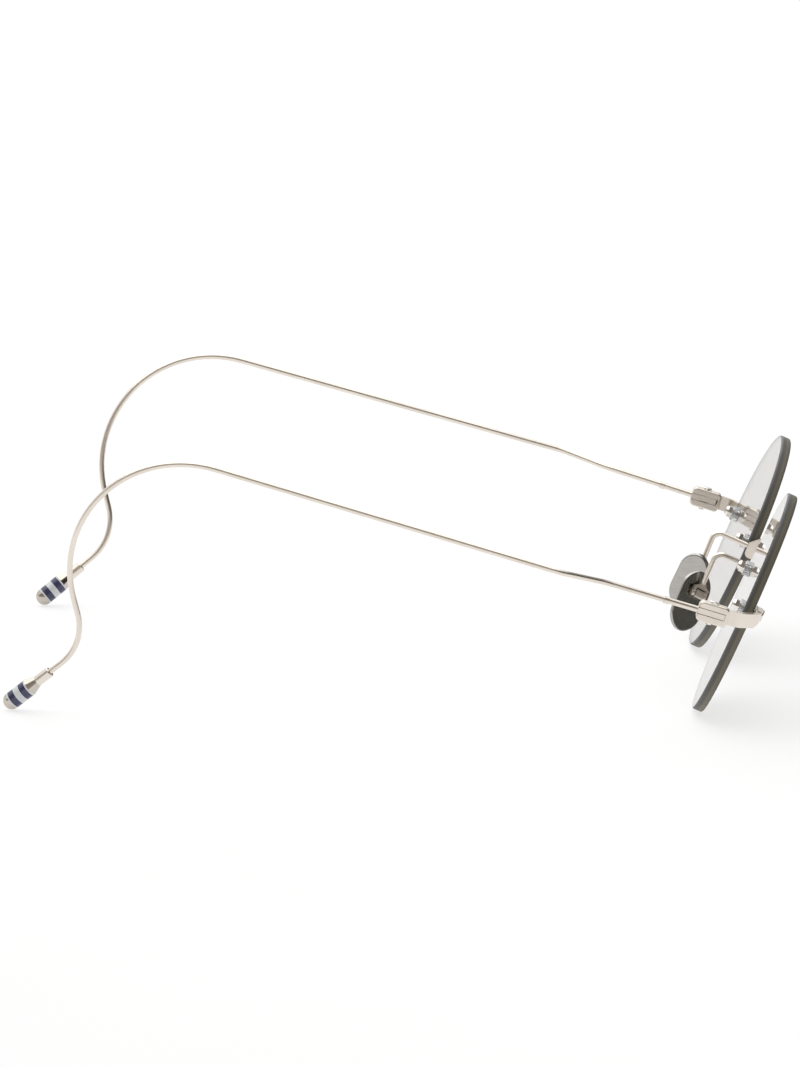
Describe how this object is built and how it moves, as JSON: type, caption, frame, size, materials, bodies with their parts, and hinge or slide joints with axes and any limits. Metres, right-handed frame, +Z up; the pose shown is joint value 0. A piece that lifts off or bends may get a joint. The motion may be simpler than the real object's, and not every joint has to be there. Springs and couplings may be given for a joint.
{
  "type": "rimless eyeglasses",
  "caption": "Rimless round eyeglasses: drilled lenses bolted to a metal bridge and endpieces, with rocking nose pads and folding wire temples that hook behind the ears.",
  "frame": {"origin": "middle of the footprint, on the surface that the open pair stands on", "axes": "+Z up, +Y to the rear along the temples, +X to the wearer's left; the lenses face -Y and lean forward"},
  "size_m": [0.14, 0.146, 0.0492],
  "materials": {
    "lens_glass": "clear, ground matte edge",
    "clear_plastic": "clear",
    "frame_metal": "polished pale silver",
    "fastener_steel": "polished",
    "pad_metal": "fine cross-brushed face, polished edge",
    "enamel_dark": "gloss enamel",
    "enamel_white": "gloss enamel"
  },
  "bodies": {
    "front": {"bridge": "frame_metal", "lens_left": "lens_glass", "lens_right": "lens_glass", "endpiece_left": "frame_metal", "endpiece_right": "frame_metal", "bridge_screws": "fastener_steel", "endpiece_screws": "fastener_steel", "hole_sleeves": "clear_plastic", "front_washers": "clear_plastic", "rear_washers": "clear_plastic", "metal_washers": "fastener_steel", "lens_nuts": "fastener_steel", "hinge_screw_left": "fastener_steel", "hinge_screw_right": "fastener_steel", "pad_arm_left": "frame_metal", "pad_arm_right": "frame_metal", "pad_pin_left": "fastener_steel", "pad_pin_right": "fastener_steel"},
    "temple_left": {"temple_front_left": "frame_metal", "temple_crimp_left": "frame_metal", "temple_wire_left": "frame_metal", "tip_ferrule_left": "frame_metal", "tip_body_left": "frame_metal", "tip_dark_bands_left": "enamel_dark", "tip_white_bands_left": "enamel_white"},
    "nosepad_left": {"pad_box_left": "frame_metal", "nose_pad_left": "pad_metal"},
    "temple_right": {"temple_front_right": "frame_metal", "temple_crimp_right": "frame_metal", "temple_wire_right": "frame_metal", "tip_ferrule_right": "frame_metal", "tip_body_right": "frame_metal", "tip_dark_bands_right": "enamel_dark", "tip_white_bands_right": "enamel_white"},
    "nosepad_right": {"pad_box_right": "frame_metal", "nose_pad_right": "pad_metal"}
  },
  "joints": [
    {"name": "temple_left_fold", "type": "hinge", "parent": "front", "child": "temple_left", "pos_m": [0.0638, -0.05719, 0.0238], "axis": [0, -0.2636, 0.9646], "range_deg": [0, 90]},
    {"name": "temple_right_fold", "type": "hinge", "parent": "front", "child": "temple_right", "pos_m": [-0.0638, -0.05719, 0.0238], "axis": [0, 0.2636, -0.9646], "range_deg": [0, 84]},
    {"name": "nosepad_left_rock", "type": "hinge", "parent": "front", "child": "nosepad_left", "pos_m": [0.0119, -0.05548, 0.01804], "axis": [0.3712, 0.8138, 0.4471], "range_deg": [-8, 8]},
    {"name": "nosepad_right_rock", "type": "hinge", "parent": "front", "child": "nosepad_right", "pos_m": [-0.0119, -0.05548, 0.01804], "axis": [-0.3712, 0.8138, 0.4471], "range_deg": [-8, 8]}
  ]
}
